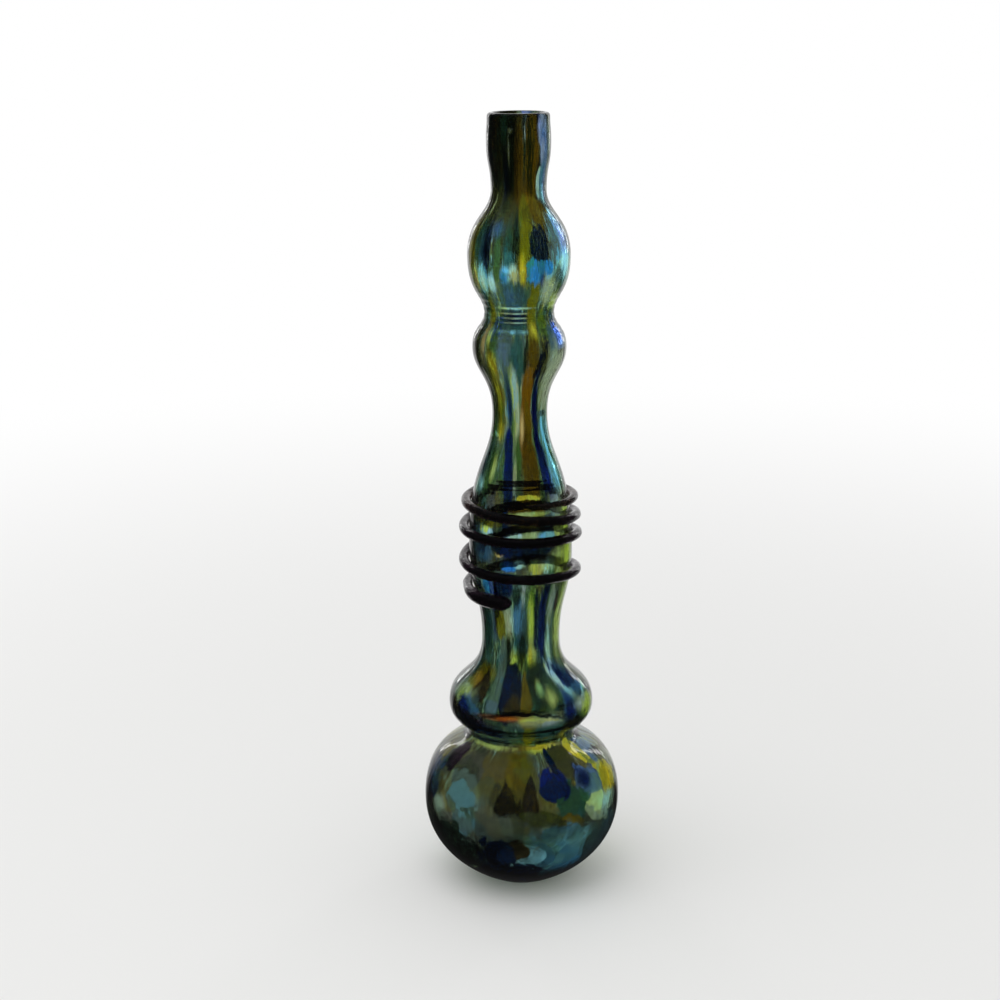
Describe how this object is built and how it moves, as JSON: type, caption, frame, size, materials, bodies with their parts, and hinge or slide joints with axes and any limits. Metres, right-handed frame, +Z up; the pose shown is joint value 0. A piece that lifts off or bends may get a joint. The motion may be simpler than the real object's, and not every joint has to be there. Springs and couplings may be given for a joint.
{
  "type": "art glass vase",
  "caption": "Tall hand-blown glass vase of stacked round swells on a squat globe, with a dark glass trail wound round its stem and coloured glass streaks and patches melted into its wall.",
  "frame": {"origin": "middle of the flat ring that the vase stands on", "axes": "+Z up along the vase's axis to its mouth, -Y towards the side shown in the picture, +X to the right of that side"},
  "size_m": [0.1036, 0.1035, 0.3999],
  "materials": {
    "clear_glass": "fire polished, faint green tint",
    "amethyst_glass": "fire polished, almost black",
    "navy_glass": "fire polished",
    "cobalt_glass": "fire polished",
    "violet_glass": "fire polished",
    "lavender_glass": "fire polished",
    "amber_glass": "fire polished",
    "brown_glass": "fire polished",
    "olive_glass": "fire polished",
    "yellow_glass": "fire polished",
    "green_glass": "fire polished",
    "teal_glass": "fire polished",
    "aqua_glass": "fire polished",
    "slate_glass": "fire polished"
  },
  "bodies": {
    "root": {"vessel_body": "clear_glass", "trail_wrap": "amethyst_glass", "lavender_mouth_streak": "lavender_glass", "amber_mouth_streak": "amber_glass", "navy_mouth_streak": "navy_glass", "olive_upper_streak": "olive_glass", "cobalt_upper_patch": "cobalt_glass", "green_upper_streak": "green_glass", "aqua_upper_patch": "aqua_glass", "amber_back_streak": "amber_glass", "teal_back_streak": "teal_glass", "violet_middle_patch": "violet_glass", "amber_stem_streak": "amber_glass", "olive_stem_streak": "olive_glass", "cobalt_stem_streak": "cobalt_glass", "navy_stem_streak": "navy_glass", "aqua_stem_streak": "aqua_glass", "cobalt_back_streak": "cobalt_glass", "cobalt_neck_streak": "cobalt_glass", "yellow_neck_drop": "yellow_glass", "green_back_streak": "green_glass", "slate_bulb_streak": "slate_glass", "navy_bulb_drop": "navy_glass", "ochre_bulb_streak": "amber_glass", "green_bulb_patch": "green_glass", "violet_bulb_patch": "violet_glass", "olive_back_patch": "olive_glass", "amethyst_globe_patch": "brown_glass", "yellow_globe_streak": "yellow_glass", "brown_globe_drop_left": "brown_glass", "brown_globe_drop_right": "brown_glass", "cobalt_globe_patch": "cobalt_glass", "violet_globe_patch": "violet_glass", "aqua_globe_patch": "aqua_glass", "teal_globe_patch": "teal_glass", "navy_globe_patch": "navy_glass", "violet_back_patch": "violet_glass", "slate_back_patch": "slate_glass", "yellow_back_patch": "yellow_glass"}
  },
  "joints": []
}
